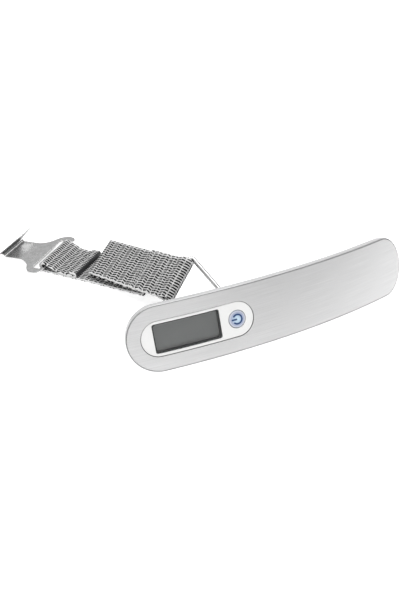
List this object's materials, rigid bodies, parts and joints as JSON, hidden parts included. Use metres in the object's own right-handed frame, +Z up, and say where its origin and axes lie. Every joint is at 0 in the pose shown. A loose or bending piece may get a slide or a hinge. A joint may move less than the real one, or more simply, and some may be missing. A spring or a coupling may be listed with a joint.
{
  "type": "digital luggage scale",
  "caption": "Bowed handheld luggage scale with a brushed steel face, a small display and a round button; a folded webbing strap and a stamped steel hook hang from a wire bail.",
  "frame": {"origin": "on the ground under the middle of the whole object", "axes": "+X along the handle toward the end without the display, +Y from the handle face back toward the strap and hook, +Z up from the surface it lies on"},
  "size_m": [0.1754, 0.1578, 0.0321],
  "materials": {
    "brushed_plate": "satin, brushed lengthwise",
    "handle_shell": "satin silver paint on moulded plastic",
    "white_trim": "gloss",
    "clear_window": "clear, polished",
    "display_glass": "unlit grey liquid crystal",
    "button_blue": "satin pale blue",
    "black_plastic": "matte",
    "circuit_board": "satin solder mask",
    "bare_aluminium": "machined",
    "gauge_foil": "thin film on foil",
    "bright_steel": "bright nickel plate",
    "lead_red": "insulated wire",
    "webbing": "coarse black, grey and white weave",
    "stamped_steel": "tumbled nickel plate"
  },
  "bodies": {
    "handle": {"front_plate": "brushed_plate", "front_housing": "handle_shell", "rear_shell": "handle_shell", "display_bezel": "white_trim", "display_lens": "clear_window", "lcd_panel": "display_glass", "lcd_connector": "black_plastic", "main_pcb": "circuit_board", "controller_chip": "black_plastic", "capacitor": "bare_aluminium", "tact_switch": "black_plastic", "load_cell_beam": "bare_aluminium", "strain_gauge_back": "gauge_foil", "strain_gauge_front": "gauge_foil", "load_cell_shim": "bare_aluminium", "load_cell_screw_1": "bright_steel", "load_cell_screw_2": "bright_steel", "coin_cell": "bright_steel", "battery_tray": "black_plastic", "battery_contact_minus": "bright_steel", "battery_contact_plus": "bright_steel", "battery_lead_plus": "lead_red", "battery_lead_minus": "black_plastic", "load_cell_lead": "lead_red", "case_screw_1": "bright_steel", "case_screw_2": "bright_steel", "case_screw_3": "bright_steel"},
    "button": {"power_button": "button_blue", "switch_plunger": "black_plastic"},
    "battery_door": {"battery_cover": "handle_shell"},
    "hanger": {"hanger_eye": "bright_steel", "hanger_nut": "bright_steel", "hanger_washer": "bright_steel"},
    "bail": {"wire_bail": "bright_steel"},
    "upper_strap": {"strap_upper": "webbing"},
    "middle_strap": {"strap_middle": "webbing"},
    "lower_strap": {"strap_lower": "webbing"},
    "hook": {"hook_plate": "stamped_steel"}
  },
  "joints": [
    {"name": "button_press", "type": "slide", "parent": "handle", "child": "button", "axis": [0.1105, 0.9386, -0.3269], "range_m": [0, 0.0004], "stiffness_N_per_m": 150},
    {"name": "battery_door_lift", "type": "slide", "parent": "handle", "child": "battery_door", "axis": [-0.1932, 0.9266, -0.3227], "range_m": [0, 0.012]},
    {"name": "hanger_swivel", "type": "hinge", "parent": "handle", "child": "hanger", "pos_m": [-0.00857, -0.04672, 0.00821], "axis": [0.0852, 0.9409, -0.3277], "range_deg": [-90, 90]},
    {"name": "bail_swing", "type": "hinge", "parent": "hanger", "child": "bail", "pos_m": [-0.0086, -0.04685, 0.0083], "axis": [-0.7619, -0.4939, -0.419], "range_deg": [-30, 90]},
    {"name": "strap_swing", "type": "hinge", "parent": "bail", "child": "upper_strap", "pos_m": [-0.02303, -0.02753, 0.01653], "axis": [-0.7619, -0.4939, -0.419], "range_deg": [-80, 30]},
    {"name": "left_fold", "type": "hinge", "parent": "upper_strap", "child": "middle_strap", "pos_m": [-0.04035, 0.02725, 0.0076], "axis": [0.7702, 0.5351, 0.3471], "range_deg": [0, 120]},
    {"name": "right_fold", "type": "hinge", "parent": "middle_strap", "child": "lower_strap", "pos_m": [-0.0234, -0.00075, 0.00165], "axis": [-0.8089, -0.5879, 0], "range_deg": [0, 150]},
    {"name": "hook_swing", "type": "hinge", "parent": "lower_strap", "child": "hook", "pos_m": [-0.05878, 0.04737, 0.00448], "axis": [0.805, 0.584, 0.104], "range_deg": [-60, 60]}
  ]
}
